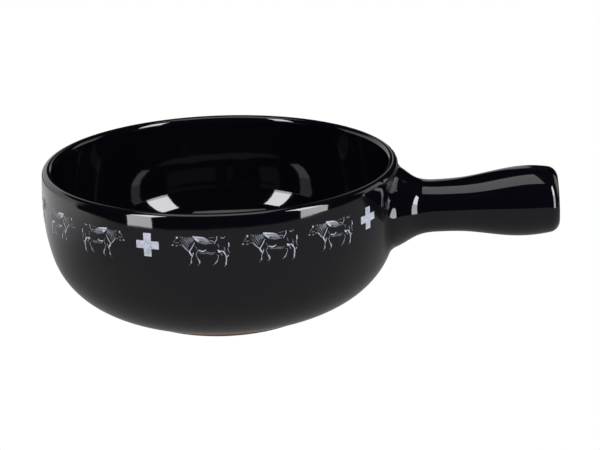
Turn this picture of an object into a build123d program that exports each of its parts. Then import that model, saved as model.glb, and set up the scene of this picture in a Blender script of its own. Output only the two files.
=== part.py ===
"""A fondue caquelon: a glazed stoneware bowl with one hollow handle and a band of fired prints.

The origin is where the pot's axis meets the table. +X runs along the handle and +Z is up.
All sizes are in millimetres.
"""

from build123d import *
from math import acos, asin, atan2, cos, degrees, hypot, radians, sin
import os

# Bowl: overall sizes, over the glaze.
POT_HEIGHT = 92.0
BELLY_RADIUS = 111.8
BELLY_HEIGHT = 66.0
FOOT_RADIUS = 68.0
FOOT_HEIGHT = 2.0
FLOOR_HEIGHT = 7.5

# Bowl: curvature of the wall, from the rim down to the inside corner.
UPPER_WALL_RADIUS = 220.0
BELLY_WALL_RADIUS = 115.0
BELLY_WALL_ANGLE = 13.5
LOWER_WALL_RADIUS = 44.0
FLOOR_CORNER_RADIUS = 30.0

# Bowl: thicknesses and foot ring.
GLAZE = 0.5
CLAY_WALL = 5.2
FOOT_RING_WIDTH = 9.0
FOOT_RECESS = 1.4
FOOT_CHAMFER = 0.5

# Handle: its axis meets the wall ROOT_BELOW_RIM under the rim and climbs outwards by HANDLE_TILT.
HANDLE_REACH = 97.9
ROOT_BELOW_RIM = 29.1
HANDLE_TILT = 5.5
HANDLE_WALL = 5.0
HANDLE_END_ROUND = 5.5
# Share of the reach from the wall, half width, half height and lift of the middle above the axis.
# The first three sections lie inside the wall.
HANDLE_SECTIONS = (
    (-0.24, 33.0, 27.2, 1.7),
    (-0.16, 33.4, 27.3, 1.7),
    (-0.08, 33.2, 27.1, 1.7),
    (0.00, 31.0, 24.8, 1.7),
    (0.04, 27.6, 22.9, 1.5),
    (0.09, 22.8, 19.8, 0.8),
    (0.13, 19.3, 17.8, 0.3),
    (0.17, 17.2, 16.8, 0.1),
    (0.28, 16.4, 16.2, 0.0),
    (0.42, 17.3, 16.7, 0.0),
    (0.58, 19.4, 19.0, 0.0),
    (0.71, 20.9, 20.8, 0.1),
    (0.83, 21.3, 21.2, 0.3),
    (0.94, 20.3, 20.0, 0.3),
    (1.00, 19.5, 18.9, 0.2),
)
VENT_DIAMETER = 3.0
VENT_REACH = 24.0

# Prints: groups of cows spread from both sides of the handle to one cross at the back, a cross before each.
PRINT_THICKNESS = 0.12
CROSS_BELOW_RIM = 17.6
COW_BELOW_RIM = 20.2
HANDLE_GAP_ANGLE = 57.2
GROUP_ANGLE = 69.4
GROUPS_PER_SIDE = 2
COWS_PER_GROUP = 3
COW_PITCH_ANGLE = 19.5
CROSS_SIZE = 13.2
CROSS_BAR = 4.4
COW_LENGTH = 31.3
COW_HEIGHT = 18.1

# The cow is drawn in shares of its length and height, walking towards -X. Each row is one limb or mass.
COW_OUTLINES = (
    ((-0.29, 0.42), (0.00, 0.36), (0.36, 0.42), (0.44, 0.16), (0.34, -0.12), (0.02, -0.20), (-0.30, -0.16)),
    ((-0.25, 0.41), (-0.38, 0.28), (-0.37, -0.02), (-0.26, -0.15)),
    ((-0.34, 0.33), (-0.41, 0.32), (-0.50, -0.04), (-0.46, -0.10), (-0.36, -0.01)),
    ((-0.31, -0.06), (-0.19, -0.10), (-0.22, -0.50), (-0.26, -0.50)),
    ((-0.21, -0.06), (-0.11, -0.10), (-0.11, -0.46), (-0.15, -0.46)),
    ((0.15, -0.06), (0.27, -0.04), (0.20, -0.46), (0.16, -0.46)),
    ((0.28, 0.00), (0.42, 0.10), (0.36, -0.50), (0.32, -0.50)),
    ((0.37, 0.41), (0.41, 0.38), (0.49, -0.08), (0.46, -0.10)),
)

# What follows from the sizes above.
WALL = CLAY_WALL + 2 * GLAZE
RIM_ROUND = WALL / 2
ROOT_HEIGHT = POT_HEIGHT - ROOT_BELOW_RIM
CROSS_HEIGHT = POT_HEIGHT - CROSS_BELOW_RIM
COW_MIDDLE_HEIGHT = POT_HEIGHT - COW_BELOW_RIM
UPPER_ANGLE = degrees(asin((POT_HEIGHT - RIM_ROUND - BELLY_HEIGHT) / (UPPER_WALL_RADIUS - RIM_ROUND)))
UPPER_CENTRE = Vector(BELLY_RADIUS - UPPER_WALL_RADIUS, BELLY_HEIGHT)
BELLY_CENTRE = Vector(BELLY_RADIUS - BELLY_WALL_RADIUS, BELLY_HEIGHT)


def on_circle(centre, radius, angle):
    """The point of a circle in the section plane, at an angle in degrees above +X."""
    return centre + Vector(radius * cos(radians(angle)), radius * sin(radians(angle)))


RIM_CENTRE = on_circle(UPPER_CENTRE, UPPER_WALL_RADIUS - RIM_ROUND, UPPER_ANGLE)
LOWER_CENTRE = on_circle(BELLY_CENTRE, BELLY_WALL_RADIUS - LOWER_WALL_RADIUS, -BELLY_WALL_ANGLE)
RIM_RADIUS = RIM_CENTRE.X + RIM_ROUND

# The run up from the foot is tangent to the lower curve. RUN_ANGLE is how far its normal points down.
FOOT_TOP = Vector(FOOT_RADIUS, FOOT_HEIGHT)
FOOT_OFFSET = FOOT_TOP - LOWER_CENTRE
RUN_ANGLE = degrees(
    atan2(-FOOT_OFFSET.Y, FOOT_OFFSET.X) - acos(LOWER_WALL_RADIUS / hypot(FOOT_OFFSET.X, FOOT_OFFSET.Y))
)
RUN_NORMAL = Vector(cos(radians(RUN_ANGLE)), -sin(radians(RUN_ANGLE)))

# Inside, a hollow corner joins that run to the floor.
CORNER_CENTRE_Z = FLOOR_HEIGHT + FLOOR_CORNER_RADIUS
CORNER_SHIFT = (FOOT_TOP.Y - CORNER_CENTRE_Z) * RUN_NORMAL.Y - WALL - FLOOR_CORNER_RADIUS
FLOOR_CENTRE = Vector(FOOT_TOP.X + CORNER_SHIFT / RUN_NORMAL.X, CORNER_CENTRE_Z)


def foot_point(depth):
    """The lowest point of the outer line at a depth below the glaze."""
    return FOOT_TOP - RUN_NORMAL * depth


def crest_point(depth):
    """The rim's highest point at a depth below the glaze."""
    return on_circle(RIM_CENTRE, RIM_ROUND - depth, 90)


def outside_line(depth):
    """The wall's outer line at a depth below the glaze, from the foot to the crest."""
    Line(foot_point(depth), on_circle(LOWER_CENTRE, LOWER_WALL_RADIUS - depth, -RUN_ANGLE))
    CenterArc(LOWER_CENTRE, LOWER_WALL_RADIUS - depth, -RUN_ANGLE, RUN_ANGLE - BELLY_WALL_ANGLE)
    CenterArc(BELLY_CENTRE, BELLY_WALL_RADIUS - depth, -BELLY_WALL_ANGLE, BELLY_WALL_ANGLE)
    CenterArc(UPPER_CENTRE, UPPER_WALL_RADIUS - depth, 0, UPPER_ANGLE)
    CenterArc(RIM_CENTRE, RIM_ROUND - depth, UPPER_ANGLE, 90 - UPPER_ANGLE)


def inside_line(depth):
    """The wall's inner line at a depth below the inside glaze, from the crest to the pot's axis."""
    across = WALL - depth
    corner = FLOOR_CORNER_RADIUS + depth
    CenterArc(RIM_CENTRE, RIM_ROUND - depth, 90, 90 + UPPER_ANGLE)
    CenterArc(UPPER_CENTRE, UPPER_WALL_RADIUS - across, 0, UPPER_ANGLE)
    CenterArc(BELLY_CENTRE, BELLY_WALL_RADIUS - across, -BELLY_WALL_ANGLE, BELLY_WALL_ANGLE)
    CenterArc(LOWER_CENTRE, LOWER_WALL_RADIUS - across, -RUN_ANGLE, RUN_ANGLE - BELLY_WALL_ANGLE)
    Line(
        on_circle(LOWER_CENTRE, LOWER_WALL_RADIUS - across, -RUN_ANGLE),
        on_circle(FLOOR_CENTRE, corner, -RUN_ANGLE),
    )
    CenterArc(FLOOR_CENTRE, corner, -90, 90 - RUN_ANGLE)
    Line((FLOOR_CENTRE.X, FLOOR_HEIGHT - depth), (0, FLOOR_HEIGHT - depth))


def turned_layer(outer_depth, inner_depth):
    """A turned coat between two depths under the outside of the wall, foot to crest."""
    with BuildPart() as layer:
        with BuildSketch(Plane.XZ):
            with BuildLine():
                outside_line(outer_depth)
                outside_line(inner_depth)
                Line(foot_point(outer_depth), foot_point(inner_depth))
                Line(crest_point(outer_depth), crest_point(inner_depth))
            make_face()
        revolve(axis=Axis.Z)
    return layer.part


def turned_plug():
    """Everything inside the wall's glazed outside, as one solid from foot to crest."""
    with BuildPart() as plug:
        with BuildSketch(Plane.XZ):
            with BuildLine():
                outside_line(0)
                Polyline(crest_point(0), (0, crest_point(0).Y), (0, FOOT_TOP.Y), FOOT_TOP)
            make_face()
        revolve(axis=Axis.Z)
    return plug.part


def handle_plane(reach):
    """The plane square to the handle's axis, at a distance from the wall along it."""
    along = Vector(cos(radians(HANDLE_TILT)), 0, sin(radians(HANDLE_TILT)))
    return Plane(origin=Vector(RIM_RADIUS, 0, ROOT_HEIGHT) + along * reach, x_dir=(0, 1, 0), z_dir=along)


def handle_form(depth):
    """The handle's outer form at a depth below its glaze, run back through the bowl's wall."""
    with BuildPart() as form:
        for share, half_width, half_height, lift in HANDLE_SECTIONS:
            with BuildSketch(handle_plane(share * (HANDLE_REACH - depth))):
                with Locations((0, lift)):
                    Ellipse(half_width - depth, half_height - depth)
        loft()
        end_face = form.faces().sort_by(Axis.X)[-1]
        fillet(end_face.edges(), HANDLE_END_ROUND - depth / 2)
    return form.part


def print_plane(angle, height):
    """The upright plane through the pot's axis, centred at a height, that faces outwards at an angle."""
    outwards = Vector(cos(radians(angle)), sin(radians(angle)), 0)
    across = Vector(-sin(radians(angle)), cos(radians(angle)), 0)
    return Plane(origin=(0, 0, height), x_dir=across, z_dir=outwards)


def finish_piece(piece, name):
    """Labels a finished piece and writes it to its own file."""
    piece.label = name
    export_step(piece, f"parts/{name}.step")


os.makedirs("parts", exist_ok=True)

outer_skin = turned_layer(0, GLAZE)
print_skin = turned_layer(-PRINT_THICKNESS, 0)
wall_plug = turned_plug()
glazed_form = handle_form(0)
clay_form = handle_form(GLAZE)
hollow_form = handle_form(GLAZE + HANDLE_WALL)

# Bowl body: one turned piece of clay with a ground foot ring.
foot_outer = foot_point(GLAZE).X
foot_inner = foot_outer - FOOT_RING_WIDTH
with BuildPart() as bowl:
    with BuildSketch(Plane.XZ):
        with BuildLine():
            outside_line(GLAZE)
            inside_line(GLAZE)
            Polyline(
                (0, FLOOR_HEIGHT - GLAZE),
                (0, FOOT_RECESS),
                (foot_inner - FOOT_CHAMFER, FOOT_RECESS),
                (foot_inner, 0),
                (foot_outer - FOOT_CHAMFER, 0),
                (foot_outer, FOOT_CHAMFER),
                foot_point(GLAZE),
            )
        make_face()
    revolve(axis=Axis.Z)
finish_piece(bowl.part, "bowl")

# Inside glaze: poured over the floor and wall up to the crest of the rim.
with BuildPart() as inner_glaze:
    with BuildSketch(Plane.XZ):
        with BuildLine():
            inside_line(0)
            inside_line(GLAZE)
            Line(crest_point(0), crest_point(GLAZE))
            Line((0, FLOOR_HEIGHT), (0, FLOOR_HEIGHT - GLAZE))
        make_face()
    revolve(axis=Axis.Z)
finish_piece(inner_glaze.part, "inner_glaze")

# Outside glaze: from the crest to just above the foot ring, open where the handle is luted on.
with BuildPart() as outer_glaze:
    add(outer_skin)
    add(clay_form, mode=Mode.SUBTRACT)
finish_piece(outer_glaze.part, "outer_glaze")

# Slip joint: the ring of liquid clay that holds the handle's open root to the bowl.
with BuildPart() as slip_joint:
    add(outer_skin)
    add(clay_form, mode=Mode.INTERSECT)
    add(hollow_form, mode=Mode.SUBTRACT)
finish_piece(slip_joint.part, "handle_slip_joint")

# The vent lets air and steam out of the handle's hollow while the pot is fired.
vent_seat = handle_plane(VENT_REACH).origin
with BuildPart() as vent:
    with BuildSketch(Plane.XY.offset(vent_seat.Z)):
        with Locations((vent_seat.X, 0)):
            Circle(VENT_DIAMETER / 2)
    extrude(amount=-2 * HANDLE_SECTIONS[0][2])

# Handle: cast hollow, open at the root.
with BuildPart() as handle:
    add(clay_form)
    add(wall_plug, mode=Mode.SUBTRACT)
    add(hollow_form, mode=Mode.SUBTRACT)
    add(vent.part, mode=Mode.SUBTRACT)
finish_piece(handle.part, "handle")

# Handle glaze: meets the outside glaze all round the root.
with BuildPart() as handle_glaze:
    add(glazed_form)
    add(clay_form, mode=Mode.SUBTRACT)
    add(wall_plug, mode=Mode.SUBTRACT)
    add(vent.part, mode=Mode.SUBTRACT)
finish_piece(handle_glaze.part, "handle_glaze")

# Prints: thin fired transfers that follow the wall, crosses first and then the cows between them.
group_starts = [HANDLE_GAP_ANGLE / 2 + group * GROUP_ANGLE for group in range(GROUPS_PER_SIDE)]
cross_angles = group_starts + [180] + [360 - start for start in reversed(group_starts)]
group_middles = [start + GROUP_ANGLE / 2 for start in group_starts]
group_middles += [360 - middle for middle in reversed(group_middles)]

for number, cross_angle in enumerate(cross_angles, 1):
    with BuildPart() as cross_print:
        with BuildSketch(print_plane(cross_angle, CROSS_HEIGHT)):
            Rectangle(CROSS_SIZE, CROSS_BAR)
            Rectangle(CROSS_BAR, CROSS_SIZE)
        extrude(amount=2 * BELLY_RADIUS)
        add(print_skin, mode=Mode.INTERSECT)
    finish_piece(cross_print.part, f"cross_print_{number}")

for group, group_middle in enumerate(group_middles):
    heading = 1 if group % 2 else -1
    for cow in range(COWS_PER_GROUP):
        cow_angle = group_middle + (cow - (COWS_PER_GROUP - 1) / 2) * COW_PITCH_ANGLE
        with BuildPart() as cow_print:
            with BuildSketch(print_plane(cow_angle, COW_MIDDLE_HEIGHT)):
                for outline in COW_OUTLINES:
                    with BuildLine():
                        Polyline(
                            [(heading * x * COW_LENGTH, y * COW_HEIGHT) for x, y in outline],
                            close=True,
                        )
                    make_face()
            extrude(amount=2 * BELLY_RADIUS)
            add(print_skin, mode=Mode.INTERSECT)
        finish_piece(cow_print.part, f"cow_print_{group * COWS_PER_GROUP + cow + 1}")
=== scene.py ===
"""A fondue caquelon: black-glazed stoneware with one hollow handle and a band of fired prints.

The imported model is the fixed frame. The glaze is one continuous coat that flows from the bowl over
the handle, the prints are thin ceramic transfers that follow the wall, and the clay parts underneath
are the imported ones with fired-clay finishes. Sizes are in millimetres until a mesh is finished.
"""

from __future__ import annotations

import logging
import math
from dataclasses import dataclass, field
from enum import Enum
from typing import Callable, Sequence

import bmesh
import bpy
import numpy as np
from mathutils import Matrix, Vector


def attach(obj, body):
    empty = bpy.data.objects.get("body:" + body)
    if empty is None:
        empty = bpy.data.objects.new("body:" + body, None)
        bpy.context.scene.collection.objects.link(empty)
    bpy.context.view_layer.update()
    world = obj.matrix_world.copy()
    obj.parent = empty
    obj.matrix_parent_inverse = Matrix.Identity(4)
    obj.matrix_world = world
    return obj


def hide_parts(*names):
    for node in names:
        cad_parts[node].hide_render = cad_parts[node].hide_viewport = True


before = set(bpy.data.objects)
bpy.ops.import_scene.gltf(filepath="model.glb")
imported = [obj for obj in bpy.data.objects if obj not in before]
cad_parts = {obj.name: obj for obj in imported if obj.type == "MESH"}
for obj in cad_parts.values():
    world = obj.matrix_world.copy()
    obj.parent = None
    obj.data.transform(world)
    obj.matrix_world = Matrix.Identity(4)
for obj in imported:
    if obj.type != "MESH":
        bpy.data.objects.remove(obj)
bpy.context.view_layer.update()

MM = 0.001
LOG = logging.getLogger("caquelon")


# ---------------------------------------------------------------------------------------------
# Small shared tools
# ---------------------------------------------------------------------------------------------


def linear(hex_colour: str) -> tuple[float, float, float, float]:
    """Turns an sRGB hex colour into a linear colour.

    Args:
        hex_colour: Six hex digits after a hash sign.

    Returns:
        Linear red, green, blue and an alpha of one.
    """
    channels = [int(hex_colour[i : i + 2], 16) / 255 for i in (1, 3, 5)]
    red, green, blue = [c / 12.92 if c <= 0.04045 else ((c + 0.055) / 1.055) ** 2.4 for c in channels]
    return red, green, blue, 1.0


def node(tree: bpy.types.NodeTree, kind: str, links: dict | None = None, **settings: object) -> bpy.types.Node:
    """Adds a node, sets it up and links its inputs.

    Args:
        tree: The tree that takes the node.
        kind: The node's type name.
        links: Input name or number to an output socket or to a plain value.
        settings: Attributes of the node.

    Returns:
        The new node.
    """
    made = tree.nodes.new(kind)
    for name, value in settings.items():
        setattr(made, name, value)
    for key, value in (links or {}).items():
        if isinstance(value, bpy.types.NodeSocket):
            tree.links.new(value, made.inputs[key])
        else:
            made.inputs[key].default_value = value
    return made


def smooth_step(low: float, high: float, value: float) -> float:
    """A soft ramp from 0 at low to 1 at high."""
    share = min(max((value - low) / (high - low), 0.0), 1.0)
    return share * share * (3 - 2 * share)


def finished(mesh_source: bmesh.types.BMesh, name: str, material: bpy.types.Material) -> bpy.types.Object:
    """Makes an object of a mesh built in millimetres.

    Args:
        mesh_source: The mesh, freed afterwards.
        name: The piece's name.
        material: Its finish.

    Returns:
        The object, at the origin, in metres and smooth shaded.
    """
    bmesh.ops.scale(mesh_source, vec=(MM, MM, MM), verts=mesh_source.verts)
    for face in mesh_source.faces:
        face.smooth = True
    mesh = bpy.data.meshes.new(name)
    mesh_source.to_mesh(mesh)
    mesh_source.free()
    mesh.materials.append(material)
    piece = bpy.data.objects.new(name, mesh)
    bpy.context.scene.collection.objects.link(piece)
    return piece


# ---------------------------------------------------------------------------------------------
# Shapes of the pot
# ---------------------------------------------------------------------------------------------


@dataclass(frozen=True)
class Arc:
    """An arc of the wall's section, in millimetres and degrees above the outward direction."""

    centre_x: float
    centre_z: float
    radius: float
    start: float
    end: float

    def at(self, angle: float) -> tuple[float, float]:
        """The point at an angle in degrees."""
        turn = math.radians(angle)
        return self.centre_x + self.radius * math.cos(turn), self.centre_z + self.radius * math.sin(turn)

    def points(self, steps: int) -> list[tuple[float, float]]:
        """Evenly spaced points after the start, up to the end."""
        return [self.at(self.start + (self.end - self.start) * (i + 1) / steps) for i in range(steps)]

    def offset(self, amount: float) -> "Arc":
        """The same arc with its radius changed."""
        return Arc(self.centre_x, self.centre_z, self.radius + amount, self.start, self.end)

    def distance(self, out: np.ndarray, up: np.ndarray) -> np.ndarray:
        """How far points of the section plane are from the arc."""
        low, high = sorted((self.start, self.end))
        angle = np.radians(np.clip(np.degrees(np.arctan2(up - self.centre_z, out - self.centre_x)), low, high))
        return np.hypot(
            out - self.centre_x - self.radius * np.cos(angle), up - self.centre_z - self.radius * np.sin(angle)
        )


@dataclass(frozen=True)
class Wall:
    """The turned wall, over its glaze: a flaring run, a round belly and a slightly closing rim."""

    height: float = 92.0
    belly_radius: float = 111.8
    belly_height: float = 66.0
    foot_radius: float = 68.0
    foot_height: float = 2.0
    floor_height: float = 7.5
    upper_curve: float = 220.0
    belly_curve: float = 115.0
    belly_angle: float = 13.5
    lower_curve: float = 44.0
    corner_curve: float = 30.0
    thickness: float = 6.2

    @property
    def rim_round(self) -> float:
        """Radius of the rolled rim."""
        return self.thickness / 2

    @property
    def upper(self) -> Arc:
        """Outer arc above the belly."""
        rise = self.height - self.rim_round - self.belly_height
        angle = math.degrees(math.asin(rise / (self.upper_curve - self.rim_round)))
        return Arc(self.belly_radius - self.upper_curve, self.belly_height, self.upper_curve, 0, angle)

    @property
    def belly(self) -> Arc:
        """Outer arc of the belly."""
        return Arc(
            self.belly_radius - self.belly_curve, self.belly_height, self.belly_curve, -self.belly_angle, 0
        )

    @property
    def run_angle(self) -> float:
        """How far the normal of the run up from the foot points down, in degrees."""
        centre_x, centre_z = self.belly.offset(-self.lower_curve).at(-self.belly_angle)
        across, down = self.foot_radius - centre_x, self.foot_height - centre_z
        return math.degrees(
            math.atan2(-down, across) - math.acos(self.lower_curve / math.hypot(across, down))
        )

    @property
    def lower(self) -> Arc:
        """Outer arc below the belly."""
        centre_x, centre_z = self.belly.offset(-self.lower_curve).at(-self.belly_angle)
        return Arc(centre_x, centre_z, self.lower_curve, -self.run_angle, -self.belly_angle)

    @property
    def rim(self) -> Arc:
        """The rolled rim, from the outside over the crest to the inside."""
        centre_x, centre_z = self.upper.offset(-self.rim_round).at(self.upper.end)
        return Arc(centre_x, centre_z, self.rim_round, self.upper.end, 180 + self.upper.end)

    @property
    def corner(self) -> Arc:
        """The hollow inside corner between the wall and the floor."""
        turn = math.radians(self.run_angle)
        centre_z = self.floor_height + self.corner_curve
        shift = -(self.foot_height - centre_z) * math.sin(turn) - self.thickness - self.corner_curve
        centre_x = self.foot_radius + shift / math.cos(turn)
        return Arc(centre_x, centre_z, self.corner_curve, -self.run_angle, -90)

    def outside(self) -> list[tuple[float, float]]:
        """The outer line from the foot up to the start of the rim."""
        line = [(self.foot_radius, self.foot_height), self.lower.at(-self.run_angle)]
        return line + self.lower.points(20) + self.belly.points(10) + self.upper.points(9)

    def inside(self) -> list[tuple[float, float]]:
        """The inner line from the end of the rim down to the middle of the floor."""
        line: list[tuple[float, float]] = []
        for arc, steps in ((self.upper, 8), (self.belly, 9), (self.lower, 12)):
            inner = arc.offset(-self.thickness)
            line += Arc(inner.centre_x, inner.centre_z, inner.radius, inner.end, inner.start).points(steps)
        line += [self.corner.at(-self.run_angle)] + self.corner.points(8)
        middle = self.corner.at(-90)[0]
        return line + [(middle * share, self.floor_height) for share in (0.75, 0.5, 0.25, 0.0)]

    def distance(self, points: np.ndarray) -> np.ndarray:
        """How far points are outside the wall, for the part above the run."""
        out, up = np.hypot(points[:, 0], points[:, 1]), points[:, 2]
        middles = [arc.offset(-self.rim_round) for arc in (self.upper, self.belly, self.lower)]
        return np.minimum.reduce([arc.distance(out, up) for arc in middles]) - self.rim_round

    def radius_at(self, height: float) -> float:
        """The outer radius at a height on the belly or above it."""
        arc = self.upper if height >= self.belly_height else self.belly
        return arc.centre_x + math.sqrt(arc.radius**2 - (height - arc.centre_z) ** 2)


@dataclass(frozen=True)
class Grip:
    """The handle's glazed form: oval sections along an axis that climbs outwards."""

    wall: Wall = Wall()
    reach: float = 97.9
    root_below_rim: float = 29.1
    tilt: float = 5.5
    end_round: float = 5.5
    # Share of the reach, half width, half height and lift of the middle.
    sections: tuple[tuple[float, float, float, float], ...] = (
        (-0.24, 33.0, 27.2, 1.7),
        (-0.16, 33.4, 27.3, 1.7),
        (-0.08, 33.2, 27.1, 1.7),
        (0.00, 31.0, 24.8, 1.7),
        (0.04, 27.6, 22.9, 1.5),
        (0.09, 22.8, 19.8, 0.8),
        (0.13, 19.3, 17.8, 0.3),
        (0.17, 17.2, 16.8, 0.1),
        (0.28, 16.4, 16.2, 0.0),
        (0.42, 17.3, 16.7, 0.0),
        (0.58, 19.4, 19.0, 0.0),
        (0.71, 20.9, 20.8, 0.1),
        (0.83, 21.3, 21.2, 0.3),
        (0.94, 20.3, 20.0, 0.3),
        (1.00, 19.5, 18.9, 0.2),
    )

    @property
    def start(self) -> np.ndarray:
        """Where the axis meets the rim's outer radius."""
        rim = self.wall.rim
        return np.array([rim.centre_x + rim.radius, 0.0, self.wall.height - self.root_below_rim])

    @property
    def axes(self) -> tuple[np.ndarray, np.ndarray, np.ndarray]:
        """Unit vectors along the axis, across it and up from it."""
        turn = math.radians(self.tilt)
        along = np.array([math.cos(turn), 0.0, math.sin(turn)])
        return along, np.array([0.0, 1.0, 0.0]), np.array([-math.sin(turn), 0.0, math.cos(turn)])

    def section(self, along: np.ndarray) -> tuple[np.ndarray, np.ndarray, np.ndarray]:
        """Half width, half height and lift at distances along the axis, by a natural cubic spline."""
        table = np.array(self.sections)
        knots = table[:, 0] * self.reach
        gaps = np.diff(knots)
        count = len(knots)
        system = np.eye(count)
        for i in range(1, count - 1):
            system[i, i - 1 : i + 2] = gaps[i - 1], 2 * (gaps[i - 1] + gaps[i]), gaps[i]
        place = np.clip(along, knots[0], knots[-1])
        cell = np.clip(np.searchsorted(knots, place) - 1, 0, count - 2)
        gap, left = gaps[cell], place - knots[cell]
        right = gap - left
        found = []
        for column in (1, 2, 3):
            values = table[:, column]
            slopes = np.diff(values) / gaps
            target = np.zeros(count)
            target[1:-1] = 6 * np.diff(slopes)
            bend = np.linalg.solve(system, target)
            found.append(
                (bend[cell] * right**3 + bend[cell + 1] * left**3) / (6 * gap)
                + (values[cell] / gap - bend[cell] * gap / 6) * right
                + (values[cell + 1] / gap - bend[cell + 1] * gap / 6) * left
            )
        return found[0], found[1], found[2]

    def surface(self, along: float, angle: float, inset: float = 0.0, share: float = 1.0) -> np.ndarray:
        """A point of the form.

        Args:
            along: Distance along the axis.
            angle: Turn about the axis from +Y, in radians.
            inset: How far the oval is drawn in.
            share: How far out the point is on its oval.

        Returns:
            The point in millimetres.
        """
        width, height, lift = (float(v[0]) for v in self.section(np.array([along])))
        axis, across, up = self.axes
        return (
            self.start
            + axis * along
            + across * (width - inset) * share * math.cos(angle)
            + up * (lift + (height - inset) * share * math.sin(angle))
        )

    def local(self, points: np.ndarray) -> tuple[np.ndarray, np.ndarray, np.ndarray]:
        """Distances along, across and up from the axis."""
        axis, across, up = self.axes
        offset = points - self.start
        return offset @ axis, offset @ across, offset @ up

    def distance(self, points: np.ndarray) -> np.ndarray:
        """How far points are outside the form, which is cut off inside the wall."""
        along, across, up = self.local(points)
        width, height, lift = self.section(along)
        level = np.hypot(across / width, (up - lift) / height)
        steep = np.hypot(across / width**2, (up - lift) / height**2)
        side = level * (level - 1) / np.maximum(steep, 1e-9)
        return np.maximum(side, self.wall.rim.centre_x - np.hypot(points[:, 0], points[:, 1]))


# ---------------------------------------------------------------------------------------------
# Finishes
# ---------------------------------------------------------------------------------------------


@dataclass(frozen=True)
class BlackGlaze:
    """Lead-free black stoneware glaze, fired glossy: near black, wet-looking, thin and brown on edges."""

    body: str = "#09080E"
    thin: str = "#4A3228"
    ior: float = 1.6
    roughness: float = 0.045
    rim_height: float = 91.75
    edge_height: float = 3.1

    def make(self) -> bpy.types.Material:
        """Builds the finish: colour thins where glaze drains away, and the surface ripples faintly."""
        material = bpy.data.materials.new("black_gloss_stoneware_glaze")
        material.use_nodes = True
        tree = material.node_tree
        tree.nodes.clear()
        place = node(tree, "ShaderNodeTexCoord")
        split = node(tree, "ShaderNodeSeparateXYZ", {0: place.outputs["Object"]})
        # Glaze drains in runs about 9 mm wide, which makes its lower edge uneven.
        drain = node(
            tree,
            "ShaderNodeTexNoise",
            {"Vector": place.outputs["Object"], "Scale": 1 / (9 * MM), "Detail": 3.0, "Roughness": 0.55},
        )
        edge_line = node(
            tree,
            "ShaderNodeMath",
            {0: drain.outputs["Fac"], 1: 2.6 * MM, 2: split.outputs["Z"]},
            operation="MULTIPLY_ADD",
        )
        edge = node(
            tree,
            "ShaderNodeMapRange",
            {
                "Value": edge_line.outputs[0],
                "From Min": (self.edge_height + 0.6) * MM,
                "From Max": (self.edge_height + 4.4) * MM,
                "To Min": 1.0,
                "To Max": 0.0,
            },
            interpolation_type="SMOOTHSTEP",
        )
        crest = node(
            tree,
            "ShaderNodeMapRange",
            {
                "Value": split.outputs["Z"],
                "From Min": (self.rim_height - 0.5) * MM,
                "From Max": (self.rim_height + 0.25) * MM,
                "To Min": 0.0,
                "To Max": 0.08,
            },
            interpolation_type="SMOOTHSTEP",
        )
        thinning = node(
            tree, "ShaderNodeMath", {0: edge.outputs[0], 1: crest.outputs[0]}, operation="MAXIMUM"
        )
        colour = node(
            tree,
            "ShaderNodeMix",
            {0: thinning.outputs[0], 6: linear(self.body), 7: linear(self.thin)},
            data_type="RGBA",
        )
        # Long low ripples, about 30 mm apart, as a dipped glaze settles.
        ripple = node(
            tree,
            "ShaderNodeTexNoise",
            {"Vector": place.outputs["Object"], "Scale": 1 / (30 * MM), "Detail": 1.0, "Roughness": 0.4},
        )
        # Fine orange-peel texture, a few millimetres across.
        peel = node(
            tree,
            "ShaderNodeTexNoise",
            {"Vector": place.outputs["Object"], "Scale": 1 / (4.5 * MM), "Detail": 1.0, "Roughness": 0.5},
        )
        swell = node(
            tree,
            "ShaderNodeBump",
            {"Strength": 1.0, "Distance": 0.16 * MM, "Height": ripple.outputs["Fac"]},
        )
        bump = node(
            tree,
            "ShaderNodeBump",
            {
                "Strength": 1.0,
                "Distance": 0.006 * MM,
                "Height": peel.outputs["Fac"],
                "Normal": swell.outputs["Normal"],
            },
        )
        shader = node(
            tree,
            "ShaderNodeBsdfPrincipled",
            {
                "Base Color": colour.outputs[2],
                "Roughness": self.roughness,
                "IOR": self.ior,
                "Normal": bump.outputs["Normal"],
            },
        )
        node(tree, "ShaderNodeOutputMaterial", {"Surface": shader.outputs[0]})
        return material


@dataclass(frozen=True)
class FiredClay:
    """Bare stoneware, fired brown and ground where it stands: matt, gritty and slightly mottled."""

    name: str = "bare_fired_stoneware"
    light: str = "#A8765C"
    dark: str = "#6E4937"
    grit: float = 0.7
    roughness: float = 0.82

    def make(self) -> bpy.types.Material:
        """Builds the finish: mottled clay with a fine tooth."""
        material = bpy.data.materials.new(self.name)
        material.use_nodes = True
        tree = material.node_tree
        tree.nodes.clear()
        place = node(tree, "ShaderNodeTexCoord")
        mottle = node(
            tree,
            "ShaderNodeTexNoise",
            {"Vector": place.outputs["Object"], "Scale": 1 / (6 * MM), "Detail": 5.0, "Roughness": 0.6},
        )
        colour = node(
            tree,
            "ShaderNodeMix",
            {0: mottle.outputs["Fac"], 6: linear(self.dark), 7: linear(self.light)},
            data_type="RGBA",
        )
        tooth = node(
            tree,
            "ShaderNodeTexNoise",
            {"Vector": place.outputs["Object"], "Scale": 1 / (self.grit * MM), "Detail": 2.0},
        )
        bump = node(
            tree,
            "ShaderNodeBump",
            {"Strength": 0.8, "Distance": 0.12 * MM, "Height": tooth.outputs["Fac"]},
        )
        shader = node(
            tree,
            "ShaderNodeBsdfPrincipled",
            {
                "Base Color": colour.outputs[2],
                "Roughness": self.roughness,
                "IOR": 1.5,
                "Normal": bump.outputs["Normal"],
            },
        )
        node(tree, "ShaderNodeOutputMaterial", {"Surface": shader.outputs[0]})
        return material


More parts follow.
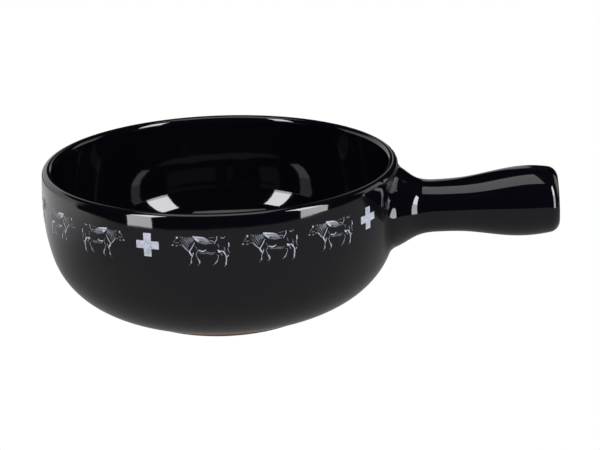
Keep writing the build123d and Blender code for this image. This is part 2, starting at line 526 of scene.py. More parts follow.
@dataclass(frozen=True)
class FiredPrint:
    """White ceramic transfer under a clear flux: satin, with pinholes where the glaze shows through."""

    white: str = "#D4D7E6"
    thin: str = "#1C1C22"
    roughness: float = 0.3
    pinhole_pitch: float = 0.95

    def make(self) -> bpy.types.Material:
        """Builds the finish: the ink attribute says how much white each stroke carries."""
        material = bpy.data.materials.new("fired_white_transfer_print")
        material.use_nodes = True
        tree = material.node_tree
        tree.nodes.clear()
        place = node(tree, "ShaderNodeTexCoord")
        ink = node(tree, "ShaderNodeAttribute", attribute_name="ink")
        dots = node(
            tree,
            "ShaderNodeTexVoronoi",
            {"Vector": place.outputs["Object"], "Scale": 1 / (self.pinhole_pitch * MM), "Randomness": 0.8},
        )
        holes = node(
            tree,
            "ShaderNodeMapRange",
            {"Value": dots.outputs["Distance"], "From Min": 0.12, "From Max": 0.42, "To Min": 0.45, "To Max": 1.0},
        )
        grain = node(
            tree,
            "ShaderNodeTexNoise",
            {"Vector": place.outputs["Object"], "Scale": 1 / (2.2 * MM), "Detail": 3.0},
        )
        worn = node(
            tree,
            "ShaderNodeMapRange",
            {"Value": grain.outputs["Fac"], "From Min": 0.3, "From Max": 0.6, "To Min": 0.72, "To Max": 1.0},
        )
        laid = node(tree, "ShaderNodeMath", {0: holes.outputs[0], 1: worn.outputs[0]}, operation="MULTIPLY")
        amount = node(tree, "ShaderNodeMath", {0: laid.outputs[0], 1: ink.outputs["Fac"]}, operation="MULTIPLY")
        colour = node(
            tree,
            "ShaderNodeMix",
            {0: amount.outputs[0], 6: linear(self.thin), 7: linear(self.white)},
            data_type="RGBA",
        )
        shader = node(
            tree,
            "ShaderNodeBsdfPrincipled",
            {"Base Color": colour.outputs[2], "Roughness": self.roughness, "IOR": 1.5},
        )
        node(tree, "ShaderNodeOutputMaterial", {"Surface": shader.outputs[0]})
        return material


# ---------------------------------------------------------------------------------------------
# Glaze coat
# ---------------------------------------------------------------------------------------------


@dataclass
class GlazeCoat:
    """The glaze as one skin: outside, rim, inside and over the handle, with a soft web at its root."""

    wall: Wall = field(default_factory=Wall)
    grip: Grip = field(default_factory=Grip)
    turns: int = 192
    rim_steps: int = 22
    thickness: float = 0.45
    root_half_turns: int = 11
    root_bottom: float = 34.5
    web_radius: float = 2.6
    web_radius_top: float = 1.3
    web_rings: int = 12
    web_reach: float = 8.0
    ring_gap: float = 2.0
    end_steps: int = 9

    def field_value(self, points: np.ndarray) -> np.ndarray:
        """How far points are outside the wall and handle, joined by a rounded web."""
        first, second = self.wall.distance(points), self.grip.distance(points)
        share = np.clip((points[:, 2] - 80.0) / 10.0, 0, 1)
        web = self.web_radius + (self.web_radius_top - self.web_radius) * share
        inward = np.hypot(np.maximum(web - first, 0), np.maximum(web - second, 0))
        return np.maximum(web, np.minimum(first, second)) - inward

    def settled(self, points: np.ndarray) -> np.ndarray:
        """Moves points onto the joined surface.

        Args:
            points: Rows of millimetre positions near the surface.

        Returns:
            The moved rows.
        """
        nudge = 0.02
        for _ in range(10):
            value = self.field_value(points)
            slope = np.stack(
                [
                    (self.field_value(points + step) - self.field_value(points - step)) / (2 * nudge)
                    for step in np.eye(3) * nudge
                ],
                axis=1,
            )
            points = points - slope * (value / np.maximum((slope**2).sum(axis=1), 1e-6))[:, None]
        return points

    def turned(self) -> tuple[bmesh.types.BMesh, int]:
        """Spins the section into a skin.

        Returns:
            The mesh, and how many points the section has up to the crest of the rim.
        """
        outside = self.wall.outside()
        rim = self.wall.rim
        crest_steps = self.rim_steps // 2
        to_crest = Arc(rim.centre_x, rim.centre_z, rim.radius, rim.start, 90).points(crest_steps)
        from_crest = Arc(rim.centre_x, rim.centre_z, rim.radius, 90, rim.end).points(self.rim_steps - crest_steps)
        line = outside + to_crest + from_crest + self.wall.inside()
        skin = bmesh.new()
        section = [skin.verts.new((x, 0, z)) for x, z in line]
        edges = [skin.edges.new(pair) for pair in zip(section, section[1:])]
        bmesh.ops.spin(
            skin,
            geom=section + edges,
            cent=(0, 0, 0),
            axis=(0, 0, 1),
            angle=math.tau,
            steps=self.turns,
            use_merge=True,
            use_duplicate=False,
        )
        bmesh.ops.remove_doubles(skin, verts=skin.verts, dist=0.01)
        return skin, len(outside) + len(to_crest)

    def open_root(self, skin: bmesh.types.BMesh) -> list[bmesh.types.BMVert]:
        """Cuts the outside open where the handle leaves it.

        Args:
            skin: The turned skin.

        Returns:
            The opening's vertices in order.
        """
        limit = math.tau * (self.root_half_turns + 0.01) / self.turns
        inside = []
        for face in skin.faces:
            middle = face.calc_center_median()
            outer = math.hypot(middle.x, middle.y) > self.wall.rim.centre_x - 1.0
            turn = abs(math.atan2(middle.y, middle.x))
            over_crest = math.hypot(middle.x, middle.y) < self.wall.rim.centre_x and middle.z > 80
            if outer and not over_crest and turn < limit and middle.z > self.root_bottom:
                inside.append(face)
        bmesh.ops.delete(skin, geom=inside, context="FACES")
        rim_edges = [
            edge
            for edge in skin.edges
            if edge.is_boundary and min(v.co.x for v in edge.verts) > 80 and edge.verts[0].co.z > 20
        ]
        follow: dict[bmesh.types.BMVert, list[bmesh.types.BMVert]] = {}
        for edge in rim_edges:
            for one, other in (edge.verts, reversed(edge.verts)):
                follow.setdefault(one, []).append(other)
        first = max(follow, key=lambda v: (round(v.co.y, 3), v.co.z))
        loop = [first, follow[first][0]]
        while True:
            ahead = [v for v in follow[loop[-1]] if v is not loop[-2]][0]
            if ahead is first:
                return loop
            loop.append(ahead)

    def ring(self, skin: bmesh.types.BMesh, loop: list[bmesh.types.BMVert]) -> list[bmesh.types.BMVert]:
        """Extrudes a closed loop once and returns the new one in the same order."""
        edges = [skin.edges.get((one, other)) for one, other in zip(loop, loop[1:] + loop[:1])]
        made = bmesh.ops.extrude_edge_only(skin, edges=edges)
        old = set(loop)
        partner = {}
        for vert in (item for item in made["geom"] if isinstance(item, bmesh.types.BMVert)):
            for edge in vert.link_edges:
                if edge.other_vert(vert) in old:
                    partner[edge.other_vert(vert)] = vert
        return [partner[vert] for vert in loop]

    def draw_handle(self, skin: bmesh.types.BMesh, loop: list[bmesh.types.BMVert]) -> None:
        """Draws the opening out along the handle, ring by ring, and closes its end."""
        grip = self.grip
        count = len(loop)
        base = np.array([v.co[:] for v in loop])
        _, across, up = grip.local(base)
        width, height, lift = (float(v[0]) for v in grip.section(np.array([self.web_reach])))
        angles = np.unwrap(np.arctan2((up - lift) / height, across / width))
        even = angles.mean() + math.copysign(1, angles[-1] - angles[0]) * math.tau * (
            np.arange(count) - (count - 1) / 2
        ) / count
        target = np.array([grip.surface(self.web_reach, a) for a in angles])
        for i in range(1, self.web_rings + 1):
            share = i / self.web_rings
            loop = self.ring(skin, loop)
            spots = self.settled(base + (target - base) * share)
            for vert, spot in zip(loop, spots):
                vert.co = spot
        steps = round((grip.reach - grip.end_round - self.web_reach) / self.ring_gap)
        rows = [
            (self.web_reach + (grip.reach - grip.end_round - self.web_reach) * (i + 1) / steps, 0.0, 1.0)
            for i in range(steps)
        ]
        for i in range(1, self.end_steps + 1):
            turn = math.radians(90 * i / self.end_steps)
            rows.append(
                (
                    grip.reach - grip.end_round * (1 - math.sin(turn)),
                    grip.end_round * (1 - math.cos(turn)),
                    1.0,
                )
            )
        rows += [(grip.reach, grip.end_round, share) for share in (0.85, 0.65, 0.4, 0.15)]
        for along, inset, share in rows:
            loop = self.ring(skin, loop)
            blend = smooth_step(self.web_reach, grip.reach * 0.6, along)
            for vert, rough, smooth in zip(loop, angles, even):
                vert.co = grip.surface(along, rough + (smooth - rough) * blend, inset, share)
        last = self.ring(skin, loop)
        bmesh.ops.pointmerge(skin, verts=last, merge_co=grip.surface(grip.reach, 0, grip.end_round, 0))

    def build(self, finish: bpy.types.Material) -> bpy.types.Object:
        """Builds the coat and gives it its thickness.

        Args:
            finish: The glaze.

        Returns:
            The finished piece.
        """
        skin, crest = self.turned()
        loop = self.open_root(skin)
        near = [
            v
            for v in skin.verts
            if v.co.x > 85 and v.co.z > 20 and math.hypot(v.co.x, v.co.y) > self.wall.rim.centre_x - 0.01
        ]
        near = [v for v in near if self.wall.distance(np.array([v.co[:]]))[0] > -0.5]
        spots = self.settled(np.array([v.co[:] for v in near]))
        for vert, spot in zip(near, spots):
            if (Vector(spot) - vert.co).length < 8:
                vert.co = spot
        self.draw_handle(skin, loop)
        bmesh.ops.recalc_face_normals(skin, faces=skin.faces)
        probe = max(skin.faces, key=lambda f: f.calc_center_median().x)
        if probe.normal.x < 0:
            bmesh.ops.reverse_faces(skin, faces=skin.faces)
        piece = finished(skin, "glaze_coat", finish)
        shell = piece.modifiers.new("thickness", "SOLIDIFY")
        shell.thickness = self.thickness * MM
        shell.offset = -1.0
        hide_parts("outer_glaze", "inner_glaze", "handle_glaze")
        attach(piece, "root")
        LOG.info("glaze_coat: %d faces round a section of %d points", len(piece.data.polygons), crest)
        return piece


# ---------------------------------------------------------------------------------------------
# Prints
# ---------------------------------------------------------------------------------------------


class Heading(Enum):
    """Which way round the pot a cow walks, seen from above."""

    CLOCKWISE = 1
    ANTICLOCKWISE = -1


@dataclass(frozen=True)
class Stroke:
    """A scratched-in line: how white it is, and its points across, up and its width, in millimetres."""

    ink: float
    path: tuple[tuple[float, float, float], ...]

    def smooth_path(self, gap: float = 0.8) -> np.ndarray:
        """Points along the line, rounded through the given ones."""
        given = np.array(self.path)
        padded = np.vstack([2 * given[0] - given[1], given, 2 * given[-1] - given[-2]])
        rows = [given[0]]
        for before, start, end, after in zip(padded, padded[1:], padded[2:], padded[3:]):
            steps = max(1, math.ceil(float(np.linalg.norm((end - start)[:2])) / gap))
            for i in range(1, steps + 1):
                t = i / steps
                rows.append(
                    0.5
                    * (
                        2 * start
                        + (end - before) * t
                        + (2 * before - 5 * start + 4 * end - after) * t**2
                        + (3 * start - before - 3 * end + after) * t**3
                    )
                )
        return np.array(rows)


def cow_strokes() -> list[Stroke]:
    """A grazing cow in scratchboard style, head to the left, 31 mm long and 17.6 mm high."""
    strokes = [
        # Back and flank.
        Stroke(0.62, ((-4.1, 8.1, 1.1), (-2.0, 7.5, 2.3), (0.8, 7.0, 2.8), (3.2, 6.4, 2.2), (4.6, 5.6, 0.8))),
        Stroke(1.0, ((-4.0, 8.5, 0.7), (-2.4, 8.1, 1.2), (0.0, 7.9, 0.9), (2.4, 7.6, 0.4))),
        Stroke(1.0, ((-3.0, 7.3, 0.8), (-1.6, 6.4, 1.5), (-0.6, 5.9, 0.8))),
        Stroke(0.4, ((-1.6, 5.4, 0.5), (0.6, 5.0, 0.9), (3.0, 4.6, 1.3), (5.2, 4.8, 1.0), (6.6, 4.4, 0.4))),
        Stroke(0.3, ((4.4, 7.5, 0.3), (6.2, 7.8, 0.5), (8.0, 7.9, 0.3))),
        Stroke(0.55, ((4.6, 5.9, 0.4), (5.8, 6.1, 0.5), (7.0, 5.6, 0.6), (7.6, 4.9, 0.4))),
        Stroke(0.75, ((9.0, 8.5, 0.4), (8.9, 6.9, 0.6), (8.1, 5.4, 0.4), (7.5, 4.2, 0.3))),
        Stroke(0.6, ((11.0, 7.9, 0.4), (11.9, 7.3, 0.7), (12.6, 7.4, 0.5), (13.4, 8.1, 0.4))),
        # Head.
        Stroke(0.9, ((-12.9, 8.2, 0.5), (-12.6, 7.7, 1.3), (-12.5, 7.0, 0.6))),
        Stroke(0.4, ((-13.2, 7.0, 0.4), (-14.0, 5.9, 0.5), (-14.6, 4.8, 0.4))),
        Stroke(0.62, ((-15.6, 3.6, 0.6), (-15.1, 3.4, 1.2), (-14.6, 3.4, 0.5))),
        Stroke(0.5, ((-13.4, 3.1, 0.5), (-12.8, 3.1, 0.9), (-12.2, 3.3, 0.4))),
        Stroke(0.42, ((-11.5, 3.6, 0.4), (-10.9, 3.7, 0.7), (-10.4, 3.9, 0.4))),
        Stroke(0.35, ((-13.6, 4.6, 0.5), (-12.6, 4.9, 0.8), (-11.6, 4.9, 0.4))),
        Stroke(0.5, ((-9.8, 8.2, 0.3), (-9.5, 7.6, 0.7), (-9.3, 7.1, 0.3))),
        Stroke(0.28, ((-11.3, 8.3, 0.4), (-10.7, 7.9, 0.6), (-10.1, 7.2, 0.3))),
        # Shoulder and near foreleg.
        Stroke(0.85, ((-3.1, 5.1, 0.4), (-4.1, 3.2, 0.6), (-5.2, 1.4, 0.7), (-6.1, 0.2, 0.6))),
        Stroke(0.95, ((-6.2, 0.6, 0.7), (-5.9, -0.4, 1.0), (-5.3, -1.5, 0.9), (-5.0, -2.3, 0.4))),
        Stroke(0.8, ((-3.9, -0.5, 0.5), (-4.4, -1.9, 0.7), (-5.0, -3.2, 0.5))),
        Stroke(0.62, ((-5.0, -3.0, 0.5), (-5.2, -4.6, 0.5), (-5.3, -5.6, 0.6), (-5.7, -6.6, 0.4))),
        Stroke(0.85, ((-5.1, -5.2, 0.4), (-5.3, -5.9, 0.8), (-5.5, -6.5, 0.4))),
        Stroke(0.28, ((-5.8, -7.0, 0.6), (-6.8, -7.6, 0.4))),
        # Far foreleg.
        Stroke(0.55, ((-2.6, -1.0, 0.4), (-2.2, -2.6, 0.5), (-1.6, -4.0, 0.6))),
        Stroke(0.85, ((-1.7, -3.8, 0.5), (-1.0, -5.0, 0.9), (-0.7, -5.9, 0.8), (-1.2, -6.7, 0.4))),
        Stroke(0.35, ((-1.0, -6.8, 0.6), (-1.8, -7.7, 0.5))),
        Stroke(0.45, ((-2.5, 3.0, 0.3), (-2.1, 1.7, 0.4), (-1.7, 0.9, 0.3))),
        Stroke(0.5, ((-1.2, 0.8, 0.3), (-1.9, -0.2, 0.6), (-2.3, -1.1, 0.4))),
        # Belly and udder.
        Stroke(0.98, ((-1.0, 1.0, 0.5), (0.2, 0.4, 0.8), (1.4, 0.3, 0.7), (2.4, 0.7, 0.6), (3.0, 1.1, 0.3))),
        Stroke(0.32, ((-0.6, -0.5, 0.5), (1.4, -0.8, 0.8), (3.4, -0.7, 1.1), (5.4, -1.2, 1.2), (7.4, -1.1, 0.4))),
        Stroke(0.4, ((3.4, 0.1, 0.3), (4.6, -0.4, 0.5), (6.2, -0.5, 0.4), (8.2, -0.3, 0.3))),
        Stroke(1.0, ((9.3, 0.9, 0.5), (9.9, 0.1, 1.5), (10.7, 0.0, 1.1), (11.2, 0.5, 0.4))),
        Stroke(0.5, ((10.6, -0.9, 0.5), (11.2, -1.6, 0.8), (11.4, -2.4, 0.4))),
        Stroke(0.5, ((9.5, 4.2, 0.3), (9.7, 3.2, 0.5), (10.0, 2.2, 0.3))),
        # Hind legs.
        Stroke(0.35, ((8.2, -1.6, 0.3), (9.0, -1.8, 0.4), (9.6, -2.2, 0.5))),
        Stroke(0.55, ((9.6, -2.0, 0.5), (9.3, -3.6, 0.5), (8.7, -5.0, 0.6))),
        Stroke(0.72, ((8.9, -4.6, 0.5), (8.2, -5.9, 0.7), (7.3, -6.9, 0.5))),
        Stroke(0.3, ((7.2, -7.1, 0.6), (6.2, -7.5, 0.4))),
        Stroke(0.95, ((11.6, 0.3, 0.6), (12.4, -0.3, 1.1), (13.0, -1.4, 0.8), (13.6, -2.4, 0.6))),
        Stroke(0.85, ((13.5, -2.3, 0.6), (13.7, -4.0, 0.9), (13.5, -5.8, 0.7))),
        Stroke(0.92, ((13.5, -5.4, 0.5), (13.4, -6.8, 0.8), (13.2, -7.8, 0.5))),
        Stroke(0.35, ((12.7, -8.0, 0.6), (12.3, -8.8, 0.4))),
        Stroke(0.85, ((15.0, -2.0, 0.4), (14.4, -2.8, 0.6), (13.8, -3.1, 0.4))),
        Stroke(0.5, ((12.6, 2.6, 0.3), (12.9, 1.6, 0.6), (13.1, 0.2, 0.5))),
        # Tail.
        Stroke(0.92, ((15.2, 4.9, 0.3), (15.3, 3.6, 0.8), (15.2, 2.4, 0.5))),
        Stroke(0.5, ((14.9, 2.2, 0.4), (14.8, 1.0, 0.6), (15.1, -0.2, 0.4), (15.4, -1.2, 0.3))),
    ]
    # Hair on the neck: slanting lines that shorten towards the withers.
    for i in range(7):
        top, foot = (-11.2 + 1.05 * i, 6.4 + 0.28 * i), (-7.4 + 0.62 * i, 1.0 + 0.85 * i)
        middle = ((top[0] + foot[0]) / 2 + 0.25, (top[1] + foot[1]) / 2 + 0.2)
        strokes.append(Stroke(0.36 + 0.1 * (i % 3), ((*top, 0.25), (*middle, 0.42), (*foot, 0.25))))
    for i in range(4):
        strokes.append(
            Stroke(0.42, ((-8.6 + 1.15 * i, 8.0, 0.3), (-7.8 + 1.1 * i, 6.9, 0.7), (-6.7 + 1.0 * i, 4.6 + 0.3 * i, 0.3)))
        )
    strokes.append(Stroke(0.8, ((-9.6, 3.9, 0.3), (-8.2, 2.0, 0.5), (-6.6, 0.3, 0.5))))
    strokes.append(Stroke(0.55, ((-10.4, 4.0, 0.3), (-8.9, 2.4, 0.4), (-7.6, 0.9, 0.3))))
    # Ribs of the hatched flank.
    for i in range(6):
        strokes.append(
            Stroke(0.66, ((0.4 + 0.75 * i, 7.4 - 0.2 * i, 0.2), (1.0 + 0.75 * i, 6.2 - 0.2 * i, 0.32), (1.2 + 0.75 * i, 5.0 - 0.1 * i, 0.2)))
        )
    return strokes


@dataclass
class PrintBand:
    """The band of prints: five crosses with four groups of three cows between them."""

    wall: Wall = field(default_factory=Wall)
    cross_below_rim: float = 17.6
    cow_below_rim: float = 20.2
    handle_gap: float = 57.2
    group_angle: float = 69.4
    groups_per_side: int = 2
    cows_per_group: int = 3
    cow_pitch: float = 19.5
    cow_stretch: float = 1.02
    stroke_share: float = 0.82
    ink_share: float = 1.0
    ink_contrast: float = 1.6
    cross_size: float = 13.2
    cross_cells: int = 12
    bar_cells: int = 4
    sunk: float = 0.05
    proud: float = 0.03
    layer: float = 0.0012

    def wrap(
        self, flat: bmesh.types.BMesh, angle: float, below: float, heading: Heading = Heading.CLOCKWISE
    ) -> None:
        """Bends a flat print round the wall.

        Args:
            flat: The print, with its middle at the origin.
            angle: Where it goes, in degrees from the handle.
            below: How far its middle is below the rim.
            heading: Which way it faces.
        """
        middle = self.wall.height - below
        at_middle = self.wall.radius_at(middle)
        for vert in flat.verts:
            across, up, proud = vert.co
            turn = math.radians(angle) + heading.value * across / at_middle
            radius = self.wall.radius_at(middle + up) + proud
            vert.co = (radius * math.cos(turn), radius * math.sin(turn), middle + up)
        bmesh.ops.recalc_face_normals(flat, faces=flat.faces)

    def flat_cow(self) -> bmesh.types.BMesh:
        """Lays every stroke as a thin strip on the flat, each a hair above the last."""
        flat = bmesh.new()
        ink = flat.verts.layers.float.new("ink")
        for number, stroke in enumerate(cow_strokes()):
            path = stroke.smooth_path()
            ways = np.gradient(path[:, :2], axis=0)
            ways /= np.maximum(np.linalg.norm(ways, axis=1), 1e-6)[:, None]
            pair: list[bmesh.types.BMVert] = []
            for (across, up, width), (way_x, way_y) in zip(path, ways):
                half = max(width * self.stroke_share, 0.12) / 2
                sides = [
                    Vector((across + side * way_y * half, up - side * way_x * half, -self.sunk)) for side in (1, -1)
                ]
                if not pair:
                    pair = [flat.verts.new(spot) for spot in sides]
                    flat.edges.new(pair)
                else:
                    made = bmesh.ops.extrude_edge_only(flat, edges=[flat.edges.get(pair)])
                    fresh = [item for item in made["geom"] if isinstance(item, bmesh.types.BMVert)]
                    if pair[0] not in [e.other_vert(fresh[0]) for e in fresh[0].link_edges]:
                        fresh.reverse()
                    pair = fresh
                    for vert, spot in zip(pair, sides):
                        vert.co = spot
                for vert in pair:
                    # The whole part says which layer it is.
                    vert[ink] = min(self.ink_share * stroke.ink**self.ink_contrast, 0.999) + number
        raised = bmesh.ops.extrude_face_region(flat, geom=flat.faces[:])
        for vert in (item for item in raised["geom"] if isinstance(item, bmesh.types.BMVert)):
            number = math.ceil(vert[ink] - 1e-4) - 1
            vert.co.z = self.proud + self.layer * number
        for vert in flat.verts:
            vert[ink] -= math.ceil(vert[ink] - 1e-4) - 1
        bmesh.ops.scale(flat, vec=(1.0, self.cow_stretch, 1.0), verts=flat.verts)
        return flat

    def flat_cross(self) -> bmesh.types.BMesh:
        """A plus sign on the flat, in small cells so that it can follow the wall."""
        flat = bmesh.new()
        ink = flat.verts.layers.float.new("ink")
        bmesh.ops.create_grid(
            flat, x_segments=self.cross_cells, y_segments=self.cross_cells, size=self.cross_size / 2
        )
        bar = self.cross_size * self.bar_cells / self.cross_cells / 2
        corners = []
        for face in flat.faces:
            middle = face.calc_center_median()
            if abs(middle.x) > bar and abs(middle.y) > bar:
                corners.append(face)
        bmesh.ops.delete(flat, geom=corners, context="FACES")
        bmesh.ops.translate(flat, vec=(0, 0, -self.sunk), verts=flat.verts)
        raised = bmesh.ops.extrude_face_region(flat, geom=flat.faces[:])
        tops = [item for item in raised["geom"] if isinstance(item, bmesh.types.BMVert)]
        bmesh.ops.translate(flat, vec=(0, 0, self.sunk + 0.07), verts=tops)
        for vert in flat.verts:
            vert[ink] = 1.0
        return flat

    def build(self, finish: bpy.types.Material) -> None:
        """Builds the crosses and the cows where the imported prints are.

        Args:
            finish: The fired print.
        """
        starts = [self.handle_gap / 2 + i * self.group_angle for i in range(self.groups_per_side)]
        crosses = starts + [180.0] + [360 - start for start in reversed(starts)]
        middles = [start + self.group_angle / 2 for start in starts]
        middles += [360 - middle for middle in reversed(middles)]
        cross, cow = self.flat_cross(), self.flat_cow()
        for i, angle in enumerate(crosses, 1):
            laid = cross.copy()
            self.wrap(laid, angle, self.cross_below_rim)
            self.dress(laid, f"cross_transfer_{i}", f"cross_print_{i}", finish)
        for group, middle in enumerate(middles):
            heading = Heading.CLOCKWISE if group % 2 else Heading.ANTICLOCKWISE
            for i in range(self.cows_per_group):
                number = group * self.cows_per_group + i + 1
                laid = cow.copy()
                angle = middle + (i - (self.cows_per_group - 1) / 2) * self.cow_pitch
                self.wrap(laid, angle, self.cow_below_rim, heading)
                self.dress(laid, f"cow_transfer_{number}", f"cow_print_{number}", finish)
        cross.free()
        cow.free()

    def dress(self, laid: bmesh.types.BMesh, name: str, stands_for: str, finish: bpy.types.Material) -> None:
        """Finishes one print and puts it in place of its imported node."""
        piece = finished(laid, name, finish)
        for face in piece.data.polygons:
            face.use_smooth = False
        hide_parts(stands_for)
        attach(piece, "root")
        LOG.info("%s: %d faces", name, len(piece.data.polygons))


# ---------------------------------------------------------------------------------------------
# Clay under the glaze
# ---------------------------------------------------------------------------------------------


@dataclass
class ClayBody:
    """The packed clay parts, which keep their own shapes and get fired-clay finishes."""

    body: FiredClay = FiredClay()
    slip: FiredClay = FiredClay("fired_joining_slip", "#8F6350", "#5E3F31", 0.4, 0.9)

    def dress(self) -> None:
        """Gives the clay parts their finishes."""
        body, slip = self.body.make(), self.slip.make()
        for name, finish in (("bowl", body), ("handle", body), ("handle_slip_joint", slip)):
            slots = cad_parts[name].material_slots
            if not slots:
                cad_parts[name].data.materials.append(finish)
            for held in slots:
                held.material = finish
            LOG.info("%s: %s", name, finish.name)


# ---------------------------------------------------------------------------------------------
# Studio
# ---------------------------------------------------------------------------------------------


@dataclass
class Studio:
    """A white sweep with two tall softboxes in front and a wide panel overhead."""

    # The camera looks from this side, in degrees about Z from -Y.
    turn: float = 14.0
    camera_back: float = 0.641198
    camera_height: float = 0.278010
    yaw: float = 4.359
    pitch: float = 19.977
    roll: float = -0.95
    lens: float = 63.41
    table_radius: float = 0.54
    table_shift: float = 0.05
    table_light: float = 0.26
    sweep_light: float = 0.85
    # White cards behind, each by its azimuth, half width, brightness and top.
    cards: tuple[tuple[float, float, float, float], ...] = (
        (-136.0, 35.5, 0.75, 30.0),
        (112.0, 14.0, 0.9, 30.0),
        (169.0, 3.5, 0.55, 30.0),
    )
    # The softboxes, each by the azimuths of its sides, and their parts, by height and brightness.
    boxes: tuple[tuple[str, float, float], ...] = (("left", -57.0, -42.0), ("right", 45.0, 63.0))
    box_distance: float = 1.2
    box_parts: tuple[tuple[str, float, float, float], ...] = (("skirt", -0.35, 0.5, 6.5), ("face", 0.5, 1.4, 12.5))
    panel_height: float = 1.0
    panel_left: float = -0.45
    panel_right: float = 0.3
    panel_front: float = -0.35
    panel_back: float = 0.28
    panel_radiance: float = 1.5

    def facing(self, azimuth: float, elevation: float = 0.0) -> Vector:
        """A direction, by its angle to the right of the camera's side and its height."""
        turn = math.radians(self.turn - 90 + azimuth)
        rise = math.radians(elevation)
        return Vector((math.cos(turn) * math.cos(rise), math.sin(turn) * math.cos(rise), math.sin(rise)))

    def camera(self) -> None:
        """Places the camera."""
        yaw, pitch, roll = (math.radians(v) for v in (self.yaw, self.pitch, self.roll))
        ahead = Vector((math.sin(yaw) * math.cos(pitch), math.cos(yaw) * math.cos(pitch), -math.sin(pitch)))
        level = Vector((math.cos(yaw), -math.sin(yaw), 0))
        upright = level.cross(ahead)
        right = level * math.cos(roll) + upright * math.sin(roll)
        up = upright * math.cos(roll) - level * math.sin(roll)
        spin = Matrix.Rotation(math.radians(self.turn), 4, "Z")
        pose = Matrix((right, up, -ahead)).transposed().to_4x4()
        pose.translation = (0, -self.camera_back, self.camera_height)
        data = bpy.data.cameras.new("camera")
        data.lens = self.lens
        data.sensor_width = 36.0
        data.clip_start = 0.01
        data.clip_end = 50.0
        holder = bpy.data.objects.new("camera", data)
        holder.matrix_world = spin @ pose
        bpy.context.scene.collection.objects.link(holder)
        bpy.context.scene.camera = holder

    def panel(self, name: str, place: Vector, aim: Vector, size: tuple[float, float], radiance: float) -> None:
        """Hangs a rectangular light.

        Args:
            name: Its name.
            place: Its middle, in metres.
            aim: The direction that it shines in.
            size: Its width and height, in metres.
            radiance: How bright its face is.
        """
        data = bpy.data.lights.new(name, "AREA")
        data.shape = "RECTANGLE"
        data.size, data.size_y = size
        data.energy = radiance * math.pi * size[0] * size[1]
        data.color = (0.965, 0.972, 1.0)
        holder = bpy.data.objects.new(name, data)
        holder.matrix_world = Matrix.Translation(place) @ aim.to_track_quat("-Z", "Y").to_matrix().to_4x4()
        bpy.context.scene.collection.objects.link(holder)

    def lights(self) -> None:
        """Hangs the two softboxes and the overhead panel."""
        for name, near, far in self.boxes:
            aside = self.facing((near + far) / 2)
            width = 2 * self.box_distance * math.tan(math.radians((far - near) / 2))
            for part, low, high, radiance in self.box_parts:
                middle = aside * self.box_distance + Vector((0, 0, (low + high) / 2))
                self.panel(f"softbox_{name}_{part}", middle, -aside, (width, high - low), radiance)
        back, side = self.facing(180), self.facing(90)
        width, depth = self.panel_right - self.panel_left, self.panel_back - self.panel_front
        middle = side * (self.panel_right + self.panel_left) / 2 + back * (self.panel_back + self.panel_front) / 2
        middle.z = self.panel_height
        data = bpy.data.lights.new("overhead_panel", "AREA")
        data.shape = "RECTANGLE"
        data.size, data.size_y = width, depth
        data.energy = self.panel_radiance * math.pi * data.size * data.size_y
        data.color = (0.955, 0.965, 1.0)
        holder = bpy.data.objects.new("overhead_panel", data)
        pose = Matrix((side, back, Vector((0, 0, 1)))).transposed().to_4x4()
        pose.translation = middle
        holder.matrix_world = pose
        bpy.context.scene.collection.objects.link(holder)

    def table(self) -> None:
        """Lays the pale floor, which looks like the sweep to the camera and like a table in the glaze: there it
        glows with painted light, brighter towards the back left and dimmer towards the right.
        """
        material = bpy.data.materials.new("glowing_pale_table")
        material.use_nodes = True
        tree = material.node_tree
        tree.nodes.clear()
        place = node(tree, "ShaderNodeTexCoord")
        away = node(
            tree,
            "ShaderNodeVectorMath",
            {0: place.outputs["Object"], 1: self.facing(180)},
            operation="DOT_PRODUCT",
        )
        # Painted light: in reflections the floor glows brighter towards the back left and dimmer towards the right,
        # standing in for lamplight falling on a table; to the camera it is evenly white.
        leftward = node(
            tree,
            "ShaderNodeVectorMath",
            {0: place.outputs["Object"], 1: self.facing(-140)},
            operation="DOT_PRODUCT",
        )
        brighter = node(
            tree,
            "ShaderNodeMapRange",
            {
                "Value": leftward.outputs["Value"],
                "From Min": 0.06,
                "From Max": 0.34,
                "To Min": self.table_light,
                "To Max": self.sweep_light,
            },
            interpolation_type="SMOOTHSTEP",
        )
        rightward = node(
            tree,
            "ShaderNodeVectorMath",
            {0: place.outputs["Object"], 1: self.facing(160)},
            operation="DOT_PRODUCT",
        )
        dimmer = node(
            tree,
            "ShaderNodeMapRange",
            {"Value": rightward.outputs["Value"], "From Min": 0.08, "From Max": 0.3, "To Min": 1.0, "To Max": 0.3},
            interpolation_type="SMOOTHSTEP",
        )
        lift = node(
            tree, "ShaderNodeMath", {0: brighter.outputs[0], 1: dimmer.outputs[0]}, operation="MULTIPLY"
        )
        reach = node(
            tree,
            "ShaderNodeVectorMath",
            {0: place.outputs["Object"], 1: self.facing(75) * self.table_shift},
            operation="DISTANCE",
        )
        on_table = node(
            tree,
            "ShaderNodeMapRange",
            {
                "Value": reach.outputs["Value"],
                "From Min": self.table_radius - 0.01,
                "From Max": self.table_radius + 0.01,
                "To Min": 1.0,
                "To Max": 0.0,
            },
        )
        behind = node(
            tree, "ShaderNodeMath", {0: away.outputs["Value"], 1: 0.05}, operation="GREATER_THAN"
        )
        shown = node(tree, "ShaderNodeMath", {0: on_table.outputs[0], 1: behind.outputs[0]}, operation="MAXIMUM")
        seen = node(tree, "ShaderNodeLightPath")
        strength = node(
            tree,
            "ShaderNodeMix",
            {0: seen.outputs["Is Camera Ray"], 2: lift.outputs[0], 3: 1.0},
            data_type="FLOAT",
        )
        there = node(
            tree,
            "ShaderNodeMath",
            {0: shown.outputs[0], 1: seen.outputs["Is Camera Ray"]},
            operation="MAXIMUM",
        )
        light = node(tree, "ShaderNodeEmission", {"Color": (1, 1, 1, 1), "Strength": strength.outputs[0]})
        clear = node(tree, "ShaderNodeBsdfTransparent")
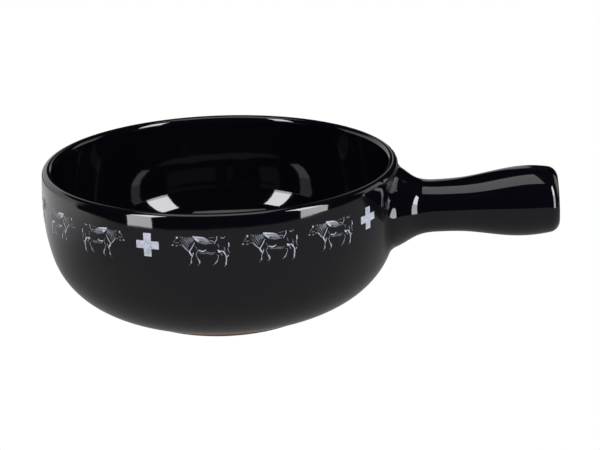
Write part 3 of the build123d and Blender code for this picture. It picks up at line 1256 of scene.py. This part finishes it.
        surface = node(
            tree, "ShaderNodeMixShader", {0: there.outputs[0], 1: clear.outputs[0], 2: light.outputs[0]}
        )
        node(tree, "ShaderNodeOutputMaterial", {"Surface": surface.outputs[0]})
        floor = bmesh.new()
        bmesh.ops.create_circle(floor, cap_ends=True, segments=96, radius=6000.0)
        piece = finished(floor, "table", material)

    def sweep(self) -> None:
        """Makes the backdrop: white to the camera, and a low white wall behind in reflections."""
        world = bpy.data.worlds.new("sweep")
        bpy.context.scene.world = world
        world.use_nodes = True
        tree = world.node_tree
        tree.nodes.clear()
        place = node(tree, "ShaderNodeTexCoord")
        level = node(
            tree,
            "ShaderNodeVectorMath",
            {0: place.outputs["Generated"], 1: (1.0, 1.0, 0.0)},
            operation="MULTIPLY",
        )
        way = node(tree, "ShaderNodeVectorMath", {0: level.outputs[0]}, operation="NORMALIZE")
        split = node(tree, "ShaderNodeSeparateXYZ", {0: place.outputs["Generated"]})
        cards = []
        for middle, half, light, top in self.cards:
            toward = node(
                tree,
                "ShaderNodeVectorMath",
                {0: way.outputs[0], 1: self.facing(middle)},
                operation="DOT_PRODUCT",
            )
            across = node(
                tree,
                "ShaderNodeMapRange",
                {
                    "Value": toward.outputs["Value"],
                    "From Min": math.cos(math.radians(half + 1.5)),
                    "From Max": math.cos(math.radians(max(half - 1.5, 0.2))),
                    "To Min": 0.0,
                    "To Max": light,
                },
            )
            below = node(
                tree,
                "ShaderNodeMapRange",
                {
                    "Value": split.outputs["Z"],
                    "From Min": math.sin(math.radians(top - 4)),
                    "From Max": math.sin(math.radians(top + 4)),
                    "To Min": 1.0,
                    "To Max": 0.0,
                },
                interpolation_type="SMOOTHSTEP",
            )
            cards.append(
                node(tree, "ShaderNodeMath", {0: across.outputs[0], 1: below.outputs[0]}, operation="MULTIPLY")
            )
        glow = cards[0]
        for card in cards[1:]:
            glow = node(tree, "ShaderNodeMath", {0: glow.outputs[0], 1: card.outputs[0]}, operation="MAXIMUM")
        seen = node(tree, "ShaderNodeLightPath")
        strength = node(
            tree,
            "ShaderNodeMix",
            {0: seen.outputs["Is Camera Ray"], 2: glow.outputs[0], 3: 1.0},
            data_type="FLOAT",
        )
        light = node(tree, "ShaderNodeBackground", {"Color": (1, 1, 1, 1), "Strength": strength.outputs[0]})
        node(tree, "ShaderNodeOutputWorld", {"Surface": light.outputs[0]})

    def build(self) -> None:
        """Sets up the whole studio."""
        view = bpy.context.scene.view_settings
        view.view_transform = "Standard"
        view.look = "None"
        self.camera()
        self.lights()
        self.table()
        self.sweep()
        LOG.info("studio: camera, three lights, table and sweep")


def main() -> None:
    """Builds the pot's pieces in order, then the studio."""
    logging.basicConfig(level=logging.INFO, format="%(name)s: %(message)s")
    ClayBody().dress()
    GlazeCoat().build(BlackGlaze().make())
    PrintBand().build(FiredPrint().make())
    Studio().build()


if __name__ == "__main__":
    main()
